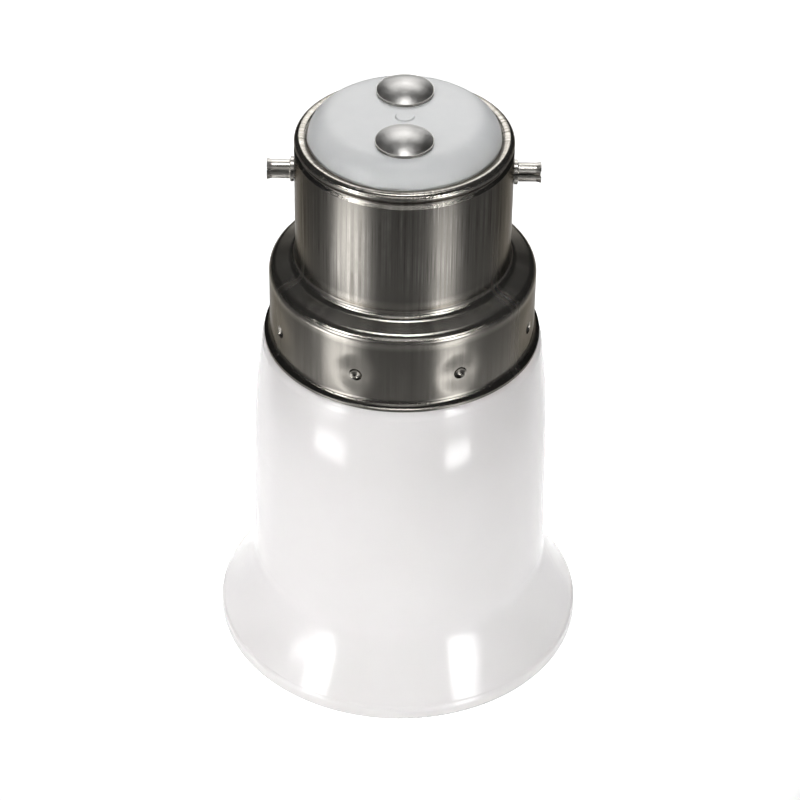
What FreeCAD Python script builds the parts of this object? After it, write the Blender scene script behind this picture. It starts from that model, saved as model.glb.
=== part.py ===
import FreeCAD, Part
import math
import os
import re
import Sketcher

# Lamp socket adapter: a bayonet cap on top, a moulded white body, and inside its flared
# mouth a rolled screw shell that takes an Edison screw lamp.
# The origin is the centre of the flat bottom rim. +Z runs up the axis to the two contacts,
# and the bayonet pins lie on the X axis.

Vector = FreeCAD.Vector
Rotation = FreeCAD.Rotation
UP = Vector(0, 0, 1)

doc = FreeCAD.newDocument("lamp_socket_adapter")
sheet = doc.addObject("Spreadsheet::Sheet", "dims")

# Driving dimensions, in millimetres. Heights are measured from the bottom rim.
DIMENSIONS = {
    # whole object
    "total_height": 65.0,
    # moulded housing
    "rim_radius": 19.7,
    "rim_thickness": 1.75,
    "rim_edge_radius": 0.6,
    "rim_round": 0.5,
    "rim_wall": 1.6,
    "bell_height": 9.9,
    "bell_fillet_radius": 5.0,
    "bell_knee_drop": 2.0,
    "bell_knee_flare": 0.43,
    "bell_curve_radius": 30.0,
    "bell_inner_curve": 8.0,
    "body_low_radius": 15.9,
    "body_top_radius": 15.65,
    "shoulder_start": 24.7,
    "shoulder_curve_radius": 110.0,
    "shoulder_edge": 0.6,
    "shoulder_edge_radius": 1.48,
    "ledge_height": 37.85,
    "ledge_radius": 14.1,
    "neck_height": 6.9,
    "neck_wall": 1.55,
    "partition_height": 28.2,
    "partition_thickness": 3.0,
    "chamber_radius": 13.1,
    # metal cap
    "cap_metal": 0.3,
    "skirt_radius": 13.8,
    "skirt_height": 7.75,
    "lip_height": 1.0,
    "lip_radius": 14.4,
    "lip_curve": 1.0,
    "cap_shoulder_height": 2.4,
    "cap_shoulder_curve": 1.1,
    "cap_foot_curve": 0.95,
    "groove_depth": 0.25,
    "barrel_radius": 11.07,
    "cap_rim_drop": 3.2,
    "curl_width": 1.3,
    "curl_round": 0.65,
    "curl_drop": 0.25,
    "crimp_count": 8,
    "crimp_angle": 25.5,
    "crimp_lift": 3.65,
    "crimp_radius": 0.7,
    "crimp_depth": 0.4,
    "play": 0.05,
    # bayonet pins
    "pin_drop": 4.25,
    "pin_radius": 0.975,
    "pin_wall": 0.4,
    "pin_length": 2.73,
    "pin_seam": 0.16,
    # insulator and contacts
    "contact_inset": 6.37,
    "contact_radius": 2.92,
    "contact_height": 1.1,
    "crown_inset": 3.87,
    "insulator_thickness": 3.6,
    "eyelet_metal": 0.3,
    "eyelet_radius": 1.3,
    # screw shell
    "thread_major_radius": 13.3,
    "shell_metal": 0.3,
    "shell_floor_metal": 0.4,
    "shell_mouth_height": 6.5,
    "shell_opening_radius": 7.8,
    # strips, rivets and wires
    "strip_metal": 0.4,
    "rivet_radius": 1.2,
    "rivet_head_radius": 2.1,
    "rivet_head_height": 0.7,
    "shell_rivet_offset": 9.9,
    "centre_rivet_offset": 5.0,
    "tongue_width": 5.0,
    "tongue_drop": 3.4,
    "tag_width": 4.4,
    "tag_height": 5.0,
    "wire_radius": 0.5,
    "sleeve_radius": 0.95,
}

# Sizes that follow from the driving ones: what meets the rim, ledge or barrel moves with it.
DERIVED = {
    "rim_inner_radius": "=rim_radius - rim_wall",
    "bell_knee_radius": "=body_low_radius + bell_knee_flare",
    "bell_knee_height": "=bell_height - bell_knee_drop",
    "cap_rim_height": "=total_height - cap_rim_drop",
    "pin_height": "=total_height - cap_rim_drop - pin_drop",
    "pin_reach": "=barrel_radius + pin_length",
    "contact_spacing": "=(barrel_radius - contact_inset) * 2",
    "crown_radius": "=barrel_radius - crown_inset",
    "crown_edge_radius": "=(cap_rim_drop - contact_height) / 2 + (crown_inset - curl_width - play)^2"
                         " / (2 * (cap_rim_drop - contact_height))",
    "crimp_height": "=ledge_height + crimp_lift",
    "crimp_ball_radius": "=(crimp_radius^2 + crimp_depth^2) / (2 * crimp_depth)",
}

for row, (alias, value) in enumerate([*DIMENSIONS.items(), *DERIVED.items()], start=1):
    sheet.set("A%d" % row, alias)
    sheet.set("B%d" % row, str(value))
    sheet.setAlias("B%d" % row, alias)
doc.recompute()


def size(text):
    """The value of a sum written with the sheet's names."""
    return float(sheet.evalExpression(text))


def bind(thing, prop, text):
    """Ties a property to a sum of the sheet's cells."""
    thing.setExpression(prop, re.sub(r"[a-z_]+", lambda word: "dims." + word.group(), text))


# Sums of the sheet's cells that several pieces share.
PARTITION_TOP = "partition_height + partition_thickness"
NECK_TOP = "ledge_height + neck_height"
NECK_RADIUS = "skirt_radius - cap_metal - play"
SKIRT_TOP = "ledge_height + skirt_height"
BARREL_BASE = "ledge_height + skirt_height + cap_shoulder_height"
CROWN_HEIGHT = "total_height - contact_height"
SHELL_TOP = "partition_height - shell_floor_metal"
SHELL_BORE = "thread_major_radius + shell_metal + play"


def origin_plane(body, role):
    return [plane for plane in body.Origin.OriginFeatures if plane.Role == role][0]


def profile(body, name, role, corners):
    """A closed sketch. Each corner is (x, y) or (x, y, radius): with a radius, the edge to the
    next corner is an arc, bulging to the right of the way it runs, or to the left if negative."""
    sketch = body.newObject("Sketcher::SketchObject", name)
    sketch.AttachmentSupport = (origin_plane(body, role), [""])
    sketch.MapMode = "FlatFace"
    points = [Vector(size(corner[0]), size(corner[1]), 0) for corner in corners]
    ends = []
    for index, corner in enumerate(corners):
        start = points[index]
        stop = points[(index + 1) % len(points)]
        if len(corner) == 2:
            edge = sketch.addGeometry(Part.LineSegment(start, stop))
            ends.append((edge, 1, 2))
            continue
        radius = size(corner[2].lstrip("-"))
        side = -1 if corner[2].startswith("-") else 1
        run = stop - start
        left = Vector(-run.y, run.x, 0).normalize()
        reach = math.sqrt(max(radius ** 2 - (run.Length / 2) ** 2, 0))
        centre = (start + stop) / 2 + left * side * reach
        first, last = (start, stop) if side > 0 else (stop, start)
        angles = [math.atan2(p.y - centre.y, p.x - centre.x) for p in (first, last)]
        circle = Part.Circle(centre, UP, radius)
        edge = sketch.addGeometry(Part.ArcOfCircle(circle, angles[0], angles[1]))
        ends.append((edge, 1, 2) if side > 0 else (edge, 2, 1))
    for index, corner in enumerate(corners):
        edge, start, stop = ends[index]
        following, its_start, its_stop = ends[(index + 1) % len(ends)]
        sketch.addConstraint(Sketcher.Constraint("Coincident", edge, stop, following, its_start))
        for kind, text, value in (("DistanceX", corner[0], points[index].x),
                                  ("DistanceY", corner[1], points[index].y)):
            rule = Sketcher.Constraint(kind, -1, 1, edge, start, value)
            bind(sketch, "Constraints[%d]" % sketch.addConstraint(rule), text)
        if len(corner) == 3:
            text = corner[2].lstrip("-")
            rule = Sketcher.Constraint("Radius", edge, size(text))
            bind(sketch, "Constraints[%d]" % sketch.addConstraint(rule), text)
    return sketch


def turned(name, corners, axis="V_Axis"):
    """A body turned from a half section in the XZ plane."""
    body = doc.addObject("PartDesign::Body", name)
    sketch = profile(body, name + "_section", "XZ_Plane", corners)
    turn = body.newObject("PartDesign::Revolution", name + "_turn")
    turn.Profile = sketch
    turn.ReferenceAxis = (sketch, [axis])
    turn.Angle = 360
    body.Tip = turn
    return body


def cylinder(name, radius, height, base, direction=UP):
    rod = doc.addObject("Part::Cylinder", name)
    bind(rod, "Radius", radius)
    bind(rod, "Height", height)
    rod.Placement = FreeCAD.Placement(base, Rotation(UP, direction))
    return rod


def joined(name, pieces):
    whole = doc.addObject("Part::MultiFuse", name)
    whole.Shapes = pieces
    return whole


def cut(name, base, tool):
    left = doc.addObject("Part::Cut", name)
    left.Base = base
    left.Tool = tool
    return left


def shaped(name, shape):
    solid = doc.addObject("Part::Feature", name)
    solid.Shape = shape
    return solid


# The crimps stand in a ring round the skirt, turned from the pins' line.
def crimps(name, wider):
    """A ring of ball-shaped punch marks, each ball wider than the mark itself by a length."""
    marks = []
    for number in range(int(size("crimp_count"))):
        turn = math.radians(size("crimp_angle") + 360 / size("crimp_count") * number - 90)
        outward = Vector(math.cos(turn), math.sin(turn), 0)
        mark = doc.addObject("Part::Sphere", "%s_%d" % (name, number + 1))
        bind(mark, "Radius", "crimp_ball_radius + " + wider)
        base = outward * size("skirt_radius - crimp_depth + crimp_ball_radius")
        base.z = size("crimp_height")
        mark.Placement = FreeCAD.Placement(base, Rotation(UP, outward))
        marks.append(mark)
    return joined(name, marks)


# housing: one white moulding. The mouth is a bell with a thick rim, the middle carries the
# screw shell up to a partition, and a chamber for the wires narrows to the neck in the cap.
moulding = turned("housing_moulding", [
    (NECK_RADIUS, NECK_TOP),
    (NECK_RADIUS, "ledge_height"),
    ("ledge_radius", "ledge_height", "-shoulder_edge_radius"),
    ("ledge_radius + shoulder_edge", "ledge_height - 1", "-shoulder_curve_radius"),
    ("body_top_radius", "shoulder_start"),
    ("body_low_radius", "bell_height", "bell_fillet_radius"),
    ("bell_knee_radius", "bell_knee_height", "bell_curve_radius"),
    ("rim_radius - 0.28", "rim_thickness", "-rim_edge_radius"),
    ("rim_radius", "rim_thickness - 0.55"),
    ("rim_radius", "rim_round", "-rim_round"),
    ("rim_radius - rim_round", "0"),
    ("rim_inner_radius", "0"),
    ("rim_inner_radius - 0.4", "1.8", "-bell_inner_curve"),
    (SHELL_BORE + " + 0.7", "shell_mouth_height - 1"),
    (SHELL_BORE, "shell_mouth_height - 0.4"),
    (SHELL_BORE, "partition_height"),
    ("0", "partition_height"),
    ("0", PARTITION_TOP),
    ("chamber_radius", PARTITION_TOP),
    ("chamber_radius", "ledge_height - 2.5"),
    (NECK_RADIUS + " - neck_wall", "ledge_height - 0.8"),
    (NECK_RADIUS + " - neck_wall", NECK_TOP),
])

RIVET_PLACES = {
    "shell_rivet_left": (-size("shell_rivet_offset"), 0),
    "shell_rivet_right": (size("shell_rivet_offset"), 0),
    "centre_rivet": (0, -size("centre_rivet_offset")),
}
rivet_holes = []
for rivet_name, (across, along) in RIVET_PLACES.items():
    base = Vector(across, along, size("partition_height - 1"))
    hole = cylinder(rivet_name + "_hole", "rivet_radius + play", "partition_thickness + 2", base)
    rivet_holes.append(hole)
# the punched marks of the cap press into the neck
housing_cutters = joined("housing_cutters", rivet_holes + [crimps("neck_dents", "cap_metal + play")])
housing = cut("housing", moulding, housing_cutters)


# screw_shell: thin sheet drawn to a cup, with a wide opening in its floor. The source holds the
# sleeve at the thread's full radius; its fine rolled thread belongs to the scene.
mouth, top = size("shell_mouth_height"), size(SHELL_TOP)
rolled = Part.makeCylinder(size("thread_major_radius + shell_metal"), top - mouth, Vector(0, 0, mouth))
rolled = rolled.cut(Part.makeCylinder(size("thread_major_radius"), top - mouth, Vector(0, 0, mouth)))
thread_sheet = shaped("thread_sheet", rolled)
shell_floor = cylinder("shell_floor", SHELL_BORE + " - 0.02", "shell_floor_metal", Vector(0, 0, top))
floor_cutters = [cylinder("floor_opening", "shell_opening_radius", "4", Vector(0, 0, top - 2))]
for rivet_name in ("shell_rivet_left", "shell_rivet_right"):
    across, along = RIVET_PLACES[rivet_name]
    hole = cylinder(rivet_name + "_floor_hole", "rivet_radius + play", "4",
                    Vector(across, along, top - 0.5))
    floor_cutters.append(hole)
floor_ring = cut("floor_ring", shell_floor, joined("floor_cutters", floor_cutters))
screw_shell = joined("screw_shell", [thread_sheet, floor_ring])


# rivets: one pair holds the screw shell to the partition, a third one the spring contact
def rivet(name, low, high):
    body = turned(name, [
        ("0", low + " - rivet_head_height"),
        ("rivet_head_radius * 0.6", low + " - rivet_head_height"),
        ("rivet_head_radius", low + " - rivet_head_height * 0.3"),
        ("rivet_head_radius", low),
        ("rivet_radius", low),
        ("rivet_radius", high),
        ("rivet_head_radius", high),
        ("rivet_head_radius", high + " + rivet_head_height * 0.3"),
        ("rivet_head_radius * 0.6", high + " + rivet_head_height"),
        ("0", high + " + rivet_head_height"),
    ])
    body.Placement.Base = Vector(*RIVET_PLACES[name], 0)
    return body


TAG_TOP = PARTITION_TOP + " + strip_metal"
rivets = [
    rivet("shell_rivet_left", SHELL_TOP, PARTITION_TOP),
    rivet("shell_rivet_right", SHELL_TOP, TAG_TOP),
    rivet("centre_rivet", SHELL_TOP, TAG_TOP),
]


def strip(name, role, corners, width):
    """A flat strip, bent to its side view and as wide as given."""
    body = doc.addObject("PartDesign::Body", name + "_blank")
    sketch = profile(body, name + "_side", role, corners)
    pad = body.newObject("PartDesign::Pad", name + "_pad")
    pad.Profile = sketch
    pad.SideType = "Symmetric"
    bind(pad, "Length", width)
    body.Tip = pad
    return body


# centre_contact: a spring tongue under the partition, bent down to the axis and up at its tip
tongue = strip("centre_contact", "YZ_Plane", [
    ("-centre_rivet_offset - 2.2", "partition_height"),
    ("-centre_rivet_offset - 2.2", SHELL_TOP),
    ("-2.35", SHELL_TOP),
    ("1.55", SHELL_TOP + " - tongue_drop"),
    ("4.15", SHELL_TOP + " - tongue_drop + 1.05"),
    ("4.0", SHELL_TOP + " - tongue_drop + 1.45"),
    ("1.6", SHELL_TOP + " - tongue_drop + 0.48"),
    ("-2.2", "partition_height"),
], "tongue_width")
tongue_hole = cylinder("tongue_hole", "rivet_radius + play", "4",
                       Vector(0, -size("centre_rivet_offset"), size(SHELL_TOP + " - 2")))
centre_contact = cut("centre_contact", tongue, tongue_hole)


# solder tags: angle strips on the partition, each with its lug turned up beside the axis
TAG_LUG = "rivet_head_radius + 0.8"


def solder_tag(name, turn, base):
    blank = strip(name, "XZ_Plane", [
        ("rivet_head_radius - 0.2", "0"),
        ("rivet_head_radius - 0.2", "strip_metal"),
        ("-(" + TAG_LUG + ") + strip_metal", "strip_metal"),
        ("-(" + TAG_LUG + ") + strip_metal", "tag_height"),
        ("-(" + TAG_LUG + ")", "tag_height"),
        ("-(" + TAG_LUG + ")", "0"),
    ], "tag_width")
    hole = cylinder(name + "_hole", "rivet_radius + play", "4", Vector(0, 0, -2))
    tag = cut(name, blank, hole)
    tag.Placement = FreeCAD.Placement(base, Rotation(UP, turn))
    return tag


shelf = size(PARTITION_TOP)
solder_tag_shell = solder_tag("solder_tag_shell", 0,
                              Vector(size("shell_rivet_offset"), 0, shelf))
solder_tag_centre = solder_tag("solder_tag_centre", -90,
                               Vector(0, -size("centre_rivet_offset"), shelf))


# cap_shell: nickelled sheet with an out-turned lip, a wide skirt, a rounded shoulder, the barrel
# and a rim curled in over the insulator
cap_sheet = turned("cap_sheet", [
    ("lip_radius", "ledge_height"),
    ("lip_radius", "ledge_height + cap_metal", "-lip_curve"),
    ("skirt_radius", "ledge_height + lip_height"),
    ("skirt_radius", SKIRT_TOP, "cap_shoulder_curve"),
    ("skirt_radius - cap_shoulder_curve * 0.658", SKIRT_TOP + " + cap_shoulder_curve * 0.94"),
    ("barrel_radius + cap_foot_curve * 0.658", BARREL_BASE + " - cap_foot_curve * 0.94", "-cap_foot_curve"),
    ("barrel_radius", BARREL_BASE),
    ("barrel_radius", "cap_rim_height - 1.6"),
    ("barrel_radius - groove_depth", "cap_rim_height - 1.25"),
    ("barrel_radius - groove_depth", "cap_rim_height - 1.1"),
    ("barrel_radius", "cap_rim_height - curl_round", "curl_round"),
    ("barrel_radius - curl_round", "cap_rim_height", "1.2"),
    ("barrel_radius - curl_width", "cap_rim_height - curl_drop"),
    ("barrel_radius - curl_width", "cap_rim_height - curl_drop - cap_metal", "-0.9"),
    ("barrel_radius - curl_round", "cap_rim_height - cap_metal", "-(curl_round - cap_metal)"),
    ("barrel_radius - cap_metal", "cap_rim_height - curl_round"),
    ("barrel_radius - cap_metal - groove_depth", "cap_rim_height - 1.1"),
    ("barrel_radius - cap_metal - groove_depth", "cap_rim_height - 1.25"),
    ("barrel_radius - cap_metal", "cap_rim_height - 1.6"),
    ("barrel_radius - cap_metal", BARREL_BASE, "cap_foot_curve + cap_metal"),
    ("barrel_radius + cap_foot_curve - (cap_foot_curve + cap_metal) * 0.342",
     BARREL_BASE + " - (cap_foot_curve + cap_metal) * 0.94"),
    ("skirt_radius - cap_shoulder_curve + (cap_shoulder_curve - cap_metal) * 0.342",
     SKIRT_TOP + " + (cap_shoulder_curve - cap_metal) * 0.94", "-(cap_shoulder_curve - cap_metal)"),
    ("skirt_radius - cap_metal", SKIRT_TOP),
    ("skirt_radius - cap_metal", "ledge_height + lip_height - 0.15", "lip_curve + cap_metal"),
    ("lip_radius - cap_metal - 0.1", "ledge_height"),
])
dented = joined("dented_cap", [cap_sheet, crimps("crimp_bumps", "cap_metal")])
# the bumps are kept only on the inside of the skirt
skirt_solid = turned("skirt_envelope", [
    ("0", "ledge_height - 1"),
    ("lip_radius + 1", "ledge_height - 1"),
    ("lip_radius + 1", "ledge_height + lip_height"),
    ("skirt_radius", "ledge_height + lip_height"),
    ("skirt_radius", SKIRT_TOP),
    ("skirt_radius", BARREL_BASE),
    ("skirt_radius", "cap_rim_height + 1"),
    ("0", "cap_rim_height + 1"),
])
trimmed_cap = doc.addObject("Part::Common", "trimmed_cap")
trimmed_cap.Base = dented
trimmed_cap.Tool = skirt_solid
pin_hole = cylinder("pin_holes", "pin_radius + 0.03", "barrel_radius * 2 + 4",
                    Vector(-size("barrel_radius") - 2, 0, size("pin_height")), Vector(1, 0, 0))
cap_cutters = joined("cap_cutters", [pin_hole, crimps("crimp_pits", "0")])
cap_shell = cut("cap_shell", trimmed_cap, cap_cutters)


# bayonet pins: rolled tubes set through the barrel, clinched inside, with a collar outside
def bayonet_pin(name, turn, seam_width, fork_width, seam_turn):
    tube = turned(name + "_tube", [
        ("barrel_radius - 0.8", "pin_radius - pin_wall"),
        ("barrel_radius - 0.8", "pin_radius + 0.4"),
        ("barrel_radius - 0.5", "pin_radius + 0.4"),
        ("barrel_radius - 0.5", "pin_radius"),
        ("barrel_radius + 0.03", "pin_radius"),
        ("barrel_radius + 0.03", "pin_radius + 0.3"),
        ("barrel_radius + 0.35", "pin_radius + 0.3"),
        ("barrel_radius + 0.45", "pin_radius"),
        ("pin_reach - 0.5", "pin_radius"),
        ("pin_reach", "pin_radius + 0.1"),
        ("pin_reach", "pin_radius - pin_wall + 0.1"),
    ], "H_Axis")
    seam = doc.addObject("Part::Box", name + "_seam")
    bind(seam, "Length", "pin_reach")
    bind(seam, "Width", "pin_radius * 2")
    bind(seam, "Height", seam_width)
    seam.Placement.Base = Vector(size("barrel_radius - 2"), 0, -size(seam_width) / 2)
    fork = doc.addObject("Part::Box", name + "_fork")
    bind(fork, "Length", "2")
    bind(fork, "Width", "pin_radius * 2")
    bind(fork, "Height", fork_width)
    fork.Placement.Base = Vector(size("pin_reach - 0.55"), 0, -size(fork_width) / 2)
    slots = joined(name + "_slots", [seam, fork])
    slots.Placement = FreeCAD.Placement(Vector(), Rotation(Vector(1, 0, 0), seam_turn))
    pin = cut(name, tube, slots)
    pin.Placement = FreeCAD.Placement(Vector(0, 0, size("pin_height")), Rotation(UP, turn))
    return pin


pins = [
    bayonet_pin("bayonet_pin_left", 180, "pin_seam", "pin_seam * 1.5", 200),
    bayonet_pin("bayonet_pin_right", 0, "pin_seam", "pin_seam * 3", 160),
]

# end_insulator: a pale glazed disc, domed above the rim, with a flange under the curl and a
# hollow plug in the barrel
disc = turned("insulator_disc", [
    ("0", CROWN_HEIGHT + " + 0.12"),
    ("0.85", CROWN_HEIGHT + " + 0.12"),
    ("1.0", CROWN_HEIGHT),
    ("crown_radius", CROWN_HEIGHT, "-crown_edge_radius"),
    ("barrel_radius - curl_width - play", "cap_rim_height"),
    ("barrel_radius - curl_width - play", "cap_rim_height - curl_drop - cap_metal - play"),
    ("barrel_radius - cap_metal - groove_depth - 0.05", "cap_rim_height - curl_drop - cap_metal - play"),
    ("barrel_radius - cap_metal - groove_depth - 0.05", "cap_rim_height - 1.3"),
    ("barrel_radius - 1.6", "cap_rim_height - 1.9"),
    ("barrel_radius - 1.6", "cap_rim_height - 5.2"),
    ("barrel_radius - 3", "cap_rim_height - 5.2"),
    ("barrel_radius - 3", CROWN_HEIGHT + " - insulator_thickness"),
    ("0", CROWN_HEIGHT + " - insulator_thickness"),
])
CONTACT_PLACES = {"front": -size("contact_spacing") / 2, "rear": size("contact_spacing") / 2}
crown = size(CROWN_HEIGHT)
eyelet_holes = []
for place, along in CONTACT_PLACES.items():
    base = Vector(0, along, crown - size("insulator_thickness") - 1)
    hole = cylinder("eyelet_hole_" + place, "eyelet_radius + play", "insulator_thickness + 2", base)
    eyelet_holes.append(hole)
end_insulator = cut("end_insulator", disc, joined("eyelet_holes", eyelet_holes))

# contacts: a brass eyelet through the insulator, closed by a dome of solder round the wire's end
DOME_RISE = "(contact_height - eyelet_metal)"
DOME_REACH = "(contact_radius - 0.04)"
contacts = []
for place, along in CONTACT_PLACES.items():
    eyelet = turned("contact_eyelet_" + place, [
        ("eyelet_radius - eyelet_metal", "eyelet_metal"),
        ("contact_radius", "eyelet_metal"),
        ("contact_radius", "0"),
        ("eyelet_radius", "0"),
        ("eyelet_radius", "-insulator_thickness"),
        ("eyelet_radius + 0.6", "-insulator_thickness"),
        ("eyelet_radius + 0.6", "-insulator_thickness - 0.25"),
        ("eyelet_radius - eyelet_metal", "-insulator_thickness - 0.25"),
    ])
    solder = turned("contact_solder_" + place, [
        ("wire_radius + 0.02", "-1.5"),
        ("eyelet_radius - eyelet_metal - 0.02", "-1.5"),
        ("eyelet_radius - eyelet_metal - 0.02", "eyelet_metal"),
        (DOME_REACH, "eyelet_metal",
         "(" + DOME_REACH + "^2 + " + DOME_RISE + "^2) / (2 * " + DOME_RISE + ")"),
        ("0", "contact_height"),
        ("0", "contact_height - 0.25"),
        ("wire_radius + 0.02", "contact_height - 0.25"),
    ])
    for piece in (eyelet, solder):
        piece.Placement.Base = Vector(0, along, crown)
        contacts.append(piece)


# wires: each runs from its solder tag up through the neck and the barrel into its contact
def wire_route(low, low_end, high_start, high):
    """Straight up from the tag, a smooth sway across the neck, and straight up into the contact."""
    sway = low_end * 0.5 + high_start * 0.5
    curve = Part.BSplineCurve()
    curve.interpolate(Points=[low_end, sway, high_start], InitialTangent=UP * 7,
                      FinalTangent=UP * 7)
    return Part.Wire([Part.makeLine(low, low_end), curve.toShape(),
                      Part.makeLine(high_start, high)])


def round_bar(route, radius):
    start = route.Vertexes[0].Point
    ring = Part.Wire([Part.makeCircle(radius, start, UP)])
    return route.makePipeShell([ring], True, False)


# Heights on the wires' way: the bare lower end, the sway between the two straights, the sleeve.
bare_end, sway_start = shelf + 1.6, shelf + 7.0
sway_end, bare_start = crown - 7.5, crown - 4.6
wire_top = crown + size("contact_height") - 0.3
beside = size(TAG_LUG + " + wire_radius") + 0.03
CIRCUITS = {
    "shell": (size("shell_rivet_offset") - beside, 0, "rear", solder_tag_shell),
    "centre": (0, beside - size("centre_rivet_offset"), "front", solder_tag_centre),
}
wiring = []
for circuit, (across, along, place, tag) in CIRCUITS.items():
    reach = CONTACT_PLACES[place]
    stations = [Vector(across, along, bare_end), Vector(across, along, sway_start),
                Vector(0, reach, sway_end), Vector(0, reach, wire_top)]
    core = shaped("wire_core_" + circuit, round_bar(wire_route(*stations), size("wire_radius")))
    stations[0].z = sway_start - 1.4
    stations[3].z = bare_start
    covered = wire_route(*stations)
    skin = round_bar(covered, size("sleeve_radius"))
    skin = skin.cut(round_bar(covered, size("wire_radius") + 0.02))
    sleeve = shaped("wire_sleeve_" + circuit, skin)
    # a drop of solder holds the bare end to the lug
    drop = turned("drop_" + circuit, [
        ("wire_radius + 0.02", "-1.4"),
        ("wire_radius * 1.3", "-1.4"),
        ("wire_radius * 1.8", "-0.5"),
        ("wire_radius * 1.8", "0.5"),
        ("wire_radius * 1.3", "1.4"),
        ("wire_radius + 0.02", "1.4"),
    ])
    drop.Placement.Base = Vector(across, along, shelf + 3.4)
    joint = cut("tag_solder_" + circuit, drop, tag)
    wiring += [core, sleeve, joint]

NODES = [housing, screw_shell, centre_contact, solder_tag_shell, solder_tag_centre, cap_shell,
         end_insulator] + rivets + pins + contacts + wiring

for piece in NODES:
    piece.Label = piece.Name
doc.recompute()

for thing in doc.Objects:
    if "Invalid" in thing.State or "Error" in thing.State:
        raise RuntimeError("%s did not build: %s" % (thing.Name, thing.State))

os.makedirs("parts", exist_ok=True)
for piece in NODES:
    if piece.Shape.isNull() or not piece.Shape.isValid() or not piece.Shape.Solids:
        raise RuntimeError("%s has no valid shape" % piece.Label)
for piece in NODES:
    piece.Shape.exportStep("parts/%s.step" % piece.Label)
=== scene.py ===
import bmesh
import bpy
import math
from mathutils import Matrix, Vector


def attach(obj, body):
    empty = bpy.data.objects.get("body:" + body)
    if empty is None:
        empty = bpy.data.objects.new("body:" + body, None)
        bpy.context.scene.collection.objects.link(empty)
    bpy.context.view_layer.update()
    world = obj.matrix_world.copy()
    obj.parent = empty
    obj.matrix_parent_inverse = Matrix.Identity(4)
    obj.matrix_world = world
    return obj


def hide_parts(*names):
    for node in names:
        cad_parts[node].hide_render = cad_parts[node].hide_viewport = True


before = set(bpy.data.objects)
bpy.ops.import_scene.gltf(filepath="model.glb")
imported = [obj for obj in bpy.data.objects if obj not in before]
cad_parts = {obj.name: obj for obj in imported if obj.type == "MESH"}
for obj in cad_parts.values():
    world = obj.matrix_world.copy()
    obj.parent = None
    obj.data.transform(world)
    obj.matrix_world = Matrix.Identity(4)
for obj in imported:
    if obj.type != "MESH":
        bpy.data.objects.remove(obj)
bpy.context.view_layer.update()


# Housing. One moulding of hard white plastic with a high gloss: flared mouth, round body,
# partition and the neck that stands inside the cap. It leaves the mould shiny, with a faint
# waviness, and its colour is made darker in patches towards the bottom rim.
MOULDING_TONES = ((0.81, 0.787, 0.779), (0.85, 0.829, 0.823))
# Colour, height and amount of the darkening towards the bottom rim.
FOOT_DARK_COLOUR = (0.5, 0.47, 0.43, 1)
FOOT_DARK_HEIGHT = 0.0012
MOST_FOOT_DARKENING = 0.35
SPECK_SHARE = 0.3


def add_node(tree, kind, links=None, **settings):
    """A shader node, with each input linked to a socket or set to a value."""
    node = tree.nodes.new("ShaderNode" + kind)
    for key, value in settings.items():
        setattr(node, key, value)
    for socket, value in (links or {}).items():
        if isinstance(value, bpy.types.NodeSocket):
            tree.links.new(value, node.inputs[socket])
        else:
            node.inputs[socket].default_value = value
    return node


def calculate(tree, operation, *values):
    return add_node(tree, "Math", dict(enumerate(values)), operation=operation).outputs[0]


def object_place(tree):
    """Where a point lies on its piece, from the frame's origin."""
    return add_node(tree, "TexCoord").outputs["Object"]


def split(tree, place):
    """The place's X, Y and Z."""
    return add_node(tree, "SeparateXYZ", {0: place}).outputs


def mottle(tree, place, scale, detail, roughness=0.5):
    return add_node(tree, "TexNoise", {
        "Vector": place, "Scale": scale, "Detail": detail, "Roughness": roughness,
    }).outputs[0]


def graded(tree, value, start, end, first=0.0, last=1.0, **settings):
    """A number that goes from first to last while the value goes from start to end."""
    return add_node(tree, "MapRange", {
        "Value": value, "From Min": start, "From Max": end, "To Min": first, "To Max": last,
    }, **settings).outputs[0]


def toned(tree, factor, start, end, tones):
    """The darker tone up to start, the lighter one from end, and a mix between them."""
    node = add_node(tree, "ValToRGB", {0: factor})
    for stop, position, tone in zip(node.color_ramp.elements, (start, end), tones):
        stop.position = position
        stop.color = (*tone, 1)
    return node.outputs[0]


def relief(tree, height, strength, depth, **under):
    """The normal of a bump, which Normal= lays over another one."""
    return add_node(tree, "Bump", {
        "Height": height, "Strength": strength, "Distance": depth, **under,
    }).outputs[0]


def new_finish(name, **shader_settings):
    """A new material, its nodes and its shader."""
    material = bpy.data.materials.new(name)
    material.use_nodes = True
    shader = material.node_tree.nodes["Principled BSDF"]
    for socket, value in shader_settings.items():
        shader.inputs[socket.replace("_", " ")].default_value = value
    return material, material.node_tree, shader


def coat(tree, shader, colour, roughness, normal):
    """Links what varies over a piece to its shader."""
    tree.links.new(colour, shader.inputs["Base Color"])
    tree.links.new(roughness, shader.inputs["Roughness"])
    tree.links.new(normal, shader.inputs["Normal"])


def dress(material, *nodes):
    """Puts a finish on CAD nodes."""
    for name in nodes:
        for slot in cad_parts[name].material_slots:
            slot.material = material


handling = bpy.data.node_groups.new("handling marks", "ShaderNodeTree")
for label in ("Patch Size", "Speck Size"):
    handling.interface.new_socket(label, in_out="INPUT", socket_type="NodeSocketFloat")
for label in ("Patches", "Relief"):
    handling.interface.new_socket(label, in_out="OUTPUT", socket_type="NodeSocketFloat")
asked = handling.nodes.new("NodeGroupInput").outputs
given = handling.nodes.new("NodeGroupOutput").inputs
place = object_place(handling)
patches = mottle(handling, place, asked["Patch Size"], 4.0)
specks = mottle(handling, place, asked["Speck Size"], 2.0)
uneven = calculate(handling, "MULTIPLY_ADD", specks, SPECK_SHARE, patches)
handling.links.new(patches, given["Patches"])
handling.links.new(uneven, given["Relief"])


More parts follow.
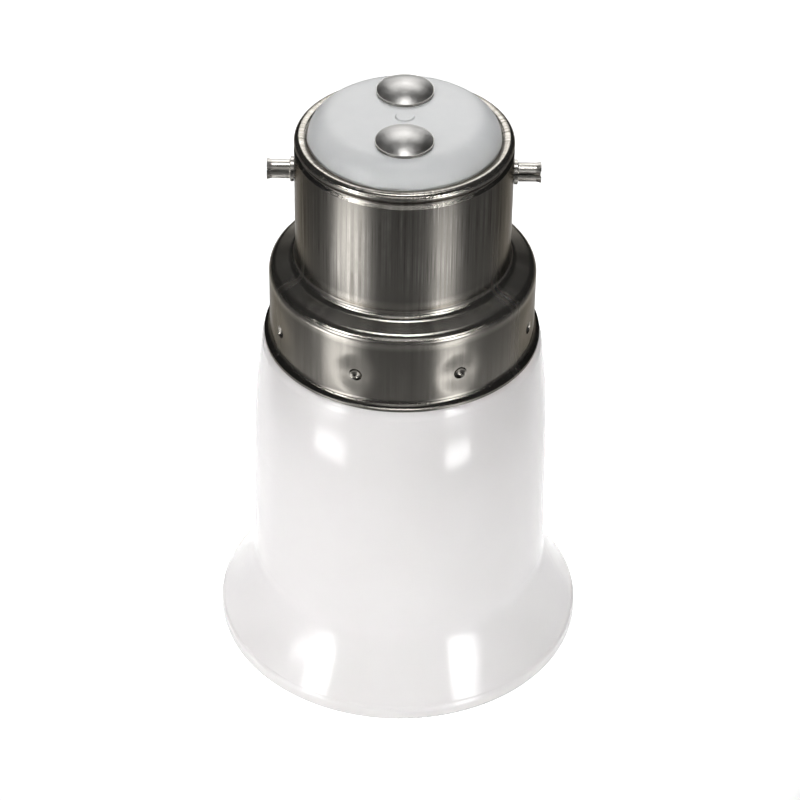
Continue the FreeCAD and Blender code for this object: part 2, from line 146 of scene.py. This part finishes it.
def handling_marks(tree, patch_size, speck_size):
    """The patches, and the unevenness that patches and specks make together."""
    node = tree.nodes.new("ShaderNodeGroup")
    node.node_tree = handling
    node.inputs["Patch Size"].default_value = patch_size
    node.inputs["Speck Size"].default_value = speck_size
    return node.outputs["Patches"], node.outputs["Relief"]


moulding, tree, shader = new_finish(
    "glossy_white_moulding", IOR=1.5, Coat_Weight=0.1, Coat_Roughness=0.03)
patches, uneven = handling_marks(tree, 60.0, 1800.0)
clean = toned(tree, patches, 0.3, 0.7, MOULDING_TONES)
height = split(tree, object_place(tree))["Z"]
# The colour goes darker in patches towards the bottom rim, over its lowest 1.2 mm.
foot_darkening = graded(tree, height, FOOT_DARK_HEIGHT, 0.0, 0.0, MOST_FOOT_DARKENING)
darker_foot = calculate(tree, "MULTIPLY", foot_darkening, patches)
white = add_node(tree, "Mix", {0: darker_foot, 6: clean, 7: FOOT_DARK_COLOUR}, data_type="RGBA").outputs[2]
gloss = graded(tree, patches, 0.3, 0.8, 0.09, 0.17)
coat(tree, shader, white, gloss, relief(tree, uneven, 0.06, 0.0004))
dress(moulding, "housing")


# Cap shell. One drawn brass shell with nickel on it: out-turned lip, skirt, ridged shoulder,
# barrel and rolled rim. Drawing left fine lines up the walls, a painted highlight lightens the
# nickel's colour on the rim and ridge, and each punch mark that fixes the skirt to the housing
# pulled a shallow dent round itself.
NICKEL = (0.2, 0.19, 0.172, 1)
NICKEL_EDGE_TINT = (0.4, 0.38, 0.35, 1)
LINE_TONES = ((0.12, 0.112, 0.1), (0.3, 0.286, 0.264))
FINE_LINES = 30.0
BROAD_LINES = 6.6
LINE_RUN = 1.2
LINE_DEPTH = 0.00005
# Each pair holds the two heights between which the lines or the painted highlight change.
DRAWN_FROM = (0.0465, 0.0515)
RIDGE_FOOT = (0.0449, 0.0457)
RIDGE_TOP = (0.0482, 0.0492)
RIM_FOOT = (0.0605, 0.0612)
SKIRT_RADIUS = 0.0138
CRIMPS = 8
CRIMP_HEIGHT = 0.0415
FIRST_CRIMP = math.radians(25.5 - 90)
DENT_RADIUS = 0.0032
DENT_DEPTH = 0.0002


def calculate_vector(tree, operation, *values, output="Vector"):
    links = dict(enumerate(values))
    return add_node(tree, "VectorMath", links, operation=operation).outputs[output]


nickel, tree, shader = new_finish(
    "drawn_nickel", Metallic=1.0, Anisotropic=0.6, Specular_Tint=NICKEL_EDGE_TINT)
place = object_place(tree)
spot = split(tree, place)
patches = handling_marks(tree, 210.0, 2600.0)[0]

# The lines follow the bearing round the axis and run up the wall.
outward = calculate_vector(tree, "MULTIPLY", place, (1, 1, 0))
bearing = calculate_vector(tree, "NORMALIZE", outward)
rise = calculate_vector(tree, "MULTIPLY", place, (0, 0, LINE_RUN))
wall = calculate_vector(tree, "ADD", bearing, rise)
fine = mottle(tree, wall, FINE_LINES, 6.0, 0.7)
broad = mottle(tree, wall, BROAD_LINES, 2.0)
lines = calculate(tree, "MULTIPLY_ADD", broad, 0.5, fine)
drawn = graded(tree, spot["Z"], *DRAWN_FROM, 0.25, 1.0)
streaky = calculate(tree, "MULTIPLY", graded(tree, patches, 0.42, 0.6, 0.15, 1.0), drawn)
lined = toned(tree, fine, 0.38, 0.62, LINE_TONES)
plate = add_node(tree, "Mix", {0: streaky, 6: NICKEL, 7: lined}, data_type="RGBA").outputs[2]

# A painted highlight makes the ridge and the rim brighter: the nickel's colour is scaled up
# there.
rim = graded(tree, spot["Z"], *RIM_FOOT, 1.0, 2.1)
ridge_foot = graded(tree, spot["Z"], *RIDGE_FOOT, 0.0, 0.9)
ridge_top = graded(tree, spot["Z"], *RIDGE_TOP, 1.0, 0.0)
painted_highlight = calculate(tree, "MULTIPLY_ADD", ridge_foot, ridge_top, rim)
bright = add_node(tree, "VectorMath", {0: plate, "Scale": painted_highlight}, operation="SCALE").outputs[0]

# Each dent lies round the crimp that is nearest on the skirt.
turned = calculate(tree, "ARCTAN2", spot["Y"], spot["X"])
turned = calculate(tree, "SUBTRACT", turned, FIRST_CRIMP)
turned = calculate(tree, "WRAP", turned, math.pi / CRIMPS, -math.pi / CRIMPS)
across = calculate(tree, "MULTIPLY", turned, SKIRT_RADIUS)
above = calculate(tree, "SUBTRACT", spot["Z"], CRIMP_HEIGHT)
offset = add_node(tree, "CombineXYZ", {0: across, 1: above}).outputs[0]
reach = calculate_vector(tree, "LENGTH", offset, output="Value")
dent = graded(tree, reach, 0.0, DENT_RADIUS, interpolation_type="SMOOTHERSTEP")
scored = relief(tree, lines, calculate(tree, "MULTIPLY", drawn, 0.2), LINE_DEPTH)
dented = relief(tree, dent, 0.7, DENT_DEPTH, Normal=scored)
coat(tree, shader, bright, graded(tree, broad, 0.3, 0.7, 0.2, 0.28), dented)
round_the_axis = add_node(tree, "Tangent", direction_type="RADIAL", axis="Z").outputs[0]
tree.links.new(round_the_axis, shader.inputs["Tangent"])
dress(nickel, "cap_shell")


# Bayonet pins. Short lengths of plated brass rolled to a tube, pushed through the barrel from
# inside and flared at the outer end, so they carry lengthwise scratches.
PIN_TONES = ((0.3, 0.285, 0.26), (0.56, 0.54, 0.505))
SCRATCH_GRAIN = (300, 3000, 3000)
SCRATCH_DEPTH = 0.00005

pin_plate, tree, shader = new_finish("plated_pin", Metallic=1.0)
stretched = add_node(tree, "Mapping", {
    "Vector": object_place(tree), "Scale": SCRATCH_GRAIN}).outputs[0]
scratches = mottle(tree, stretched, 1.0, 3.0)
plate = toned(tree, scratches, 0.35, 0.65, PIN_TONES)
dull = graded(tree, scratches, 0.0, 1.0, 0.18, 0.38)
coat(tree, shader, plate, dull, relief(tree, scratches, 0.3, SCRATCH_DEPTH))
dress(pin_plate, "bayonet_pin_left", "bayonet_pin_right")


# End insulator. A pressed disc of pale material with a smooth glaze, slightly crowned, held
# by its flange under the rolled rim.
GLAZE_TONES = ((0.7, 0.71, 0.715), (0.77, 0.775, 0.775))


def worn_finish(name, patch_size, speck_size, tones, dull, bumps, **shader_settings):
    """A patchy finish: tones and dull go from low to high, bumps are strength and depth."""
    material, tree, shader = new_finish(name, **shader_settings)
    patches, uneven = handling_marks(tree, patch_size, speck_size)
    colour = toned(tree, patches, 0.3, 0.7, tones)
    roughness = graded(tree, patches, 0.3, 0.7, *dull)
    coat(tree, shader, colour, roughness, relief(tree, uneven, *bumps))
    return material


disc_glaze = worn_finish(
    "pale_glazed_disc", 180.0, 1500.0, GLAZE_TONES, (0.3, 0.4), (0.1, 0.0002), IOR=1.5)
dress(disc_glaze, "end_insulator")


# End contacts. Two plated brass eyelets through the disc, each closed by a dome of solder that
# stands a little above it, with a dull skin in places. Solder of the same kind joins the wires
# to their tags.
SOLDER_TONES = ((0.3, 0.295, 0.285), (0.5, 0.49, 0.475))
EYELET_TONES = ((0.2, 0.19, 0.175), (0.34, 0.33, 0.31))

solder_skin = worn_finish(
    "bright_solder", 420.0, 2400.0, SOLDER_TONES, (0.3, 0.42), (0.2, 0.0002), Metallic=1.0)
dress(solder_skin, "contact_solder_front", "contact_solder_rear")
dress(solder_skin, "tag_solder_shell", "tag_solder_centre")


def plain_metal(name, tones, grain, dull):
    """Sheet, rivet or wire with a fine grain."""
    return worn_finish(name, grain, grain * 8, tones, dull, (0.15, 0.0001), Metallic=1.0)


eyelet_metal = plain_metal("plated_eyelet", EYELET_TONES, 400.0, (0.2, 0.35))
dress(eyelet_metal, "contact_eyelet_front", "contact_eyelet_rear")


# Lamp socket inside the mouth. The screw shell is thin brass sheet rolled into the lamp's
# round thread, with a floor that two steel rivets hold to the partition; the centre contact
# and the solder tags are brass sheet as well.
BRASS_TONES = ((0.5, 0.36, 0.14), (0.72, 0.56, 0.27))
STEEL_TONES = ((0.38, 0.38, 0.38), (0.58, 0.58, 0.57))
THREAD_PITCH = 0.003629
ROLL_RADIUS = 0.001025
CREST_RADIUS = 0.01329
SHELL_SHEET = 0.0003
SHELL_FOOT = 0.0065
SHELL_TOP = 0.0278
RUN_IN = 0.0002
TURNS = 7
STEPS_A_TURN = 60
WELD_DISTANCE = 0.00001
SHARP_EDGE = math.radians(40)
FLOOR_RADIUS = 0.0136
FLOOR_OPENING = 0.0078
FLOOR_SHEET = 0.0004
RIVET_HOLE_RADIUS = 0.00125
RIVET_FROM_AXIS = 0.0099

brass_sheet = plain_metal("rolled_brass_sheet", BRASS_TONES, 220.0, (0.2, 0.38))
dress(brass_sheet, "centre_contact", "solder_tag_shell", "solder_tag_centre")


def only(kind, geometry):
    return [part for part in geometry if isinstance(part, kind)]


# Three arcs draw one wave of the thread, from crest to root to crest. It starts a pitch and a
# short run-in below the shell's foot, and is wound up past the top.
shell = bmesh.new()
slope = math.asin(THREAD_PITCH / 4 / ROLL_RADIUS)
crest = Vector((CREST_RADIUS - ROLL_RADIUS, 0, SHELL_FOOT - THREAD_PITCH - RUN_IN))
root = crest + 2 * ROLL_RADIUS * Vector((math.cos(slope), 0, math.sin(slope)))
next_crest = crest + Vector((0, 0, THREAD_PITCH))
tip = bmesh.ops.create_vert(shell, co=crest + Vector((ROLL_RADIUS, 0, 0)))["vert"]
for centre, turn, steps in ((crest, -slope, 4), (root, 2 * slope, 8), (next_crest, -slope, 4)):
    tip = bmesh.ops.spin(
        shell, geom=tip, cent=centre, axis=(0, 1, 0), angle=turn, steps=steps)["geom_last"]
bmesh.ops.spin(
    shell, geom=shell.verts[:] + shell.edges[:], cent=(0, 0, 0), axis=(0, 0, 1),
    dvec=(0, 0, THREAD_PITCH / STEPS_A_TURN), angle=2 * math.pi * TURNS,
    steps=STEPS_A_TURN * TURNS)
bmesh.ops.remove_doubles(shell, verts=shell.verts, dist=WELD_DISTANCE)
bmesh.ops.recalc_face_normals(shell, faces=shell.faces)
bmesh.ops.solidify(shell, geom=shell.faces[:], thickness=-SHELL_SHEET)

# Both ends are cut level, and the cuts are closed.
for level, kept_side in ((SHELL_FOOT, 1), (SHELL_TOP, -1)):
    cut = bmesh.ops.bisect_plane(
        shell, geom=shell.verts[:] + shell.edges[:] + shell.faces[:],
        plane_co=(0, 0, level), plane_no=(0, 0, kept_side), clear_inner=True)["geom_cut"]
    bmesh.ops.triangle_fill(shell, edges=only(bmesh.types.BMEdge, cut), use_beauty=True)

# The shell's floor is a flat ring with a hole for each rivet, and lies on the top end. Its
# edges stay in the order in which they are made, so that each run fills it the same way.
rings = []
for radius, aside, segments in (
        (FLOOR_RADIUS, 0, 96), (FLOOR_OPENING, 0, 64),
        (RIVET_HOLE_RADIUS, RIVET_FROM_AXIS, 24), (RIVET_HOLE_RADIUS, -RIVET_FROM_AXIS, 24)):
    ring = bmesh.ops.create_circle(
        shell, segments=segments, radius=radius,
        matrix=Matrix.Translation((aside, 0, SHELL_TOP)))["verts"]
    rings += dict.fromkeys(edge for vert in ring for edge in vert.link_edges)
plate = bmesh.ops.triangle_fill(shell, edges=rings, use_beauty=True)["geom"]
raised = bmesh.ops.extrude_face_region(
    shell, geom=only(bmesh.types.BMFace, plate), use_keep_orig=True)["geom"]
bmesh.ops.translate(shell, verts=only(bmesh.types.BMVert, raised), vec=(0, 0, FLOOR_SHEET))
bmesh.ops.recalc_face_normals(shell, faces=shell.faces)

thread_mesh = bpy.data.meshes.new("rolled_screw_shell")
shell.to_mesh(thread_mesh)
shell.free()
thread_mesh.shade_smooth()
thread_mesh.set_sharp_from_angle(angle=SHARP_EDGE)
thread_mesh.materials.append(brass_sheet)
rolled_shell = bpy.data.objects.new("rolled_screw_shell", thread_mesh)
bpy.context.collection.objects.link(rolled_shell)
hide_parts("screw_shell")
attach(rolled_shell, "root")

rivet_steel = plain_metal("rivet_steel", STEEL_TONES, 350.0, (0.28, 0.45))
dress(rivet_steel, "shell_rivet_left", "shell_rivet_right", "centre_rivet")


# Wires. Bare copper cores inside pale woven sleeves, from the tags up to the end contacts,
# soldered at both ends.
COPPER_TONES = ((0.5, 0.24, 0.12), (0.75, 0.4, 0.24))
CLOTH_TONES = ((0.55, 0.53, 0.47), (0.78, 0.76, 0.7))

copper = plain_metal("copper_core", COPPER_TONES, 500.0, (0.2, 0.35))
dress(copper, "wire_core_shell", "wire_core_centre")
sleeve, tree, shader = new_finish("woven_sleeve")
patches, uneven = handling_marks(tree, 900.0, 3000.0)
cloth = toned(tree, patches, 0.35, 0.65, CLOTH_TONES)
dull = graded(tree, patches, 0.0, 1.0, 0.7, 0.9)
coat(tree, shader, cloth, dull, relief(tree, uneven, 0.4, 0.0002))
dress(sleeve, "wire_sleeve_shell", "wire_sleeve_centre")


# Floor. A plain sheet of pale paper. Where the camera and the shiny parts see it, it glows
# white round the object and behind it, and fades out at a distance from WHITE_LINE, which
# runs from the object's middle to the rear.
PAPER_SIZE = 6.0
PAPER_TONES = ((0.6, 0.6, 0.6), (0.63, 0.63, 0.63))
WHITE = 0.92
WHITE_LINE = (0.01, 0.16)
FADE_OUT = (0.046, 0.075)
REAR = 0.14
REAR_NARROWING = 0.65

bpy.ops.mesh.primitive_plane_add(size=PAPER_SIZE)
floor = bpy.context.object
floor.name = "studio_floor"
paper, tree, shader = new_finish(
    "pale_paper", Roughness=0.9, Specular_IOR_Level=0.1, Emission_Color=(1, 1, 1, 1))
patches = handling_marks(tree, 2.0, 900.0)[0]
tree.links.new(toned(tree, patches, 0.3, 0.7, PAPER_TONES), shader.inputs["Base Color"])

spot = split(tree, object_place(tree))
nearest = add_node(tree, "Clamp", {
    "Value": spot["Y"], "Min": WHITE_LINE[0], "Max": WHITE_LINE[1]}).outputs[0]
beyond = calculate(tree, "SUBTRACT", spot["Y"], nearest)
narrowed = graded(tree, spot["Y"], 0.0, REAR, 1.0, REAR_NARROWING)
aside = calculate(tree, "MULTIPLY", spot["X"], narrowed)
away = add_node(tree, "CombineXYZ", {0: aside, 1: beyond}).outputs[0]
reach = calculate_vector(tree, "LENGTH", away, output="Value")
glow = graded(tree, reach, *FADE_OUT, WHITE, 0.0, interpolation_type="SMOOTHSTEP")
rays = add_node(tree, "LightPath").outputs
seen = calculate(tree, "MAXIMUM", rays["Is Camera Ray"], rays["Is Glossy Ray"])
seen = calculate(tree, "MAXIMUM", seen, rays["Is Transmission Ray"])
tree.links.new(calculate(tree, "MULTIPLY", glow, seen), shader.inputs["Emission Strength"])
floor.data.materials.append(paper)


# Lamps. Two keys and two narrow glint lamps at the front left and right, a front fill, a soft
# light overhead, four rear lights, small strips close to the metal and a faint white surround.
WIDEST_HALF_FAN = 1.57
SURROUND = 0.03


def softbox(name, brightness, size, stand, aim, spread=180):
    """A flat lamp that looks as bright as asked, whatever its size and the spread of its beam.

    size is its width and height, and stand its bearing in degrees from the front towards
    the right, its distance from the axis and its height above the floor.
    """
    width, tall = size
    bearing, distance, height = stand
    lamp = bpy.data.lights.new(name, "AREA")
    lamp.shape = "RECTANGLE"
    lamp.size = width
    lamp.size_y = tall
    lamp.spread = math.radians(spread)
    fan = min(math.radians(spread) / 2, WIDEST_HALF_FAN)
    lamp.energy = brightness * math.pi * width * tall * (1 - fan / math.tan(fan))
    holder = bpy.data.objects.new(name, lamp)
    turn = math.radians(bearing)
    holder.location = (distance * math.sin(turn), -distance * math.cos(turn), height)
    holder.rotation_euler = (Vector(aim) - holder.location).to_track_quat("-Z", "Y").to_euler()
    holder.visible_camera = False
    bpy.context.collection.objects.link(holder)


softbox("key_left", 11.3, (0.085, 0.09), (-48, 0.3, 0.05), (0, 0, 0.02), 60)
softbox("key_right", 11.5, (0.08, 0.09), (40, 0.3, 0.05), (0, 0, 0.02), 60)
softbox("glint_left", 110.0, (0.1, 0.12), (-52, 0.3, 0.19), (0, 0, 0.03), 9)
softbox("glint_right", 95.0, (0.08, 0.12), (40, 0.3, 0.19), (0, 0, 0.03), 9)
softbox("front_fill", 0.9, (0.34, 0.24), (0, 0.42, 0.42), (0, 0, 0.03))
softbox("overhead", 27.0, (0.1, 0.12), (180, 0.03, 0.34), (0, 0.04, 0), 20)
softbox("disc_light", 8.0, (0.03, 0.03), (180, 0.1, 0.25), (0, 0, 0.064), 8)
softbox("rim_light", 9.0, (0.16, 0.05), (180, 0.25, 0.222), (0, 0, 0.062), 10)
softbox("rear_high", 2.4, (0.24, 0.18), (180, 0.25, 0.27), (0, 0, 0.062))
softbox("rear_fill", 1.6, (0.3, 0.18), (180, 0.5, 0.14), (0, 0, 0.03))
softbox("strip_left", 4.0, (0.03, 0.013), (-53, 0.06, 0.021), (0, 0, 0.052))
softbox("strip_right", 2.3, (0.022, 0.013), (40.6, 0.06, 0.021), (0, 0, 0.052))
softbox("low_left", 6.5, (0.024, 0.005), (-49, 0.06, 0.0066), (0, 0, 0.038))
softbox("low_right", 7.5, (0.018, 0.005), (39.2, 0.06, 0.0066), (0, 0, 0.038))

surround = bpy.data.worlds.new("surround")
surround.use_nodes = True
backdrop = surround.node_tree.nodes["Background"]
backdrop.inputs["Color"].default_value = (1, 1, 1, 1)
backdrop.inputs["Strength"].default_value = SURROUND
bpy.context.scene.world = surround


# Camera, at the photograph's angle: looking down by 37 degrees through a long lens, and
# turned a little, so the object leans to the right as it does there. The lens is given in
# the photograph's pixels.
MIDDLE = Vector((0, 0, 0.0325))
LOOK_DOWN = math.radians(37.24)
LEAN = math.radians(0.8)
AWAY = 0.3103
PHOTO_PIXELS = 800
LENS_PIXELS = 2930.0
SHIFT_PIXELS = (-1.3, -31.7)

lens = bpy.data.cameras.new("camera")
lens.sensor_width = 36.0
lens.lens = LENS_PIXELS / PHOTO_PIXELS * lens.sensor_width
lens.shift_x = SHIFT_PIXELS[0] / PHOTO_PIXELS
lens.shift_y = SHIFT_PIXELS[1] / PHOTO_PIXELS
lens.clip_start = 0.01
camera = bpy.data.objects.new("camera", lens)
camera.location = MIDDLE + Vector((0, -math.cos(LOOK_DOWN), math.sin(LOOK_DOWN))) * AWAY
facing = Matrix.Rotation(math.pi / 2 - LOOK_DOWN, 3, "X") @ Matrix.Rotation(LEAN, 3, "Z")
camera.rotation_euler = facing.to_euler()
bpy.context.collection.objects.link(camera)
bpy.context.scene.camera = camera
bpy.context.scene.view_settings.view_transform = "Standard"
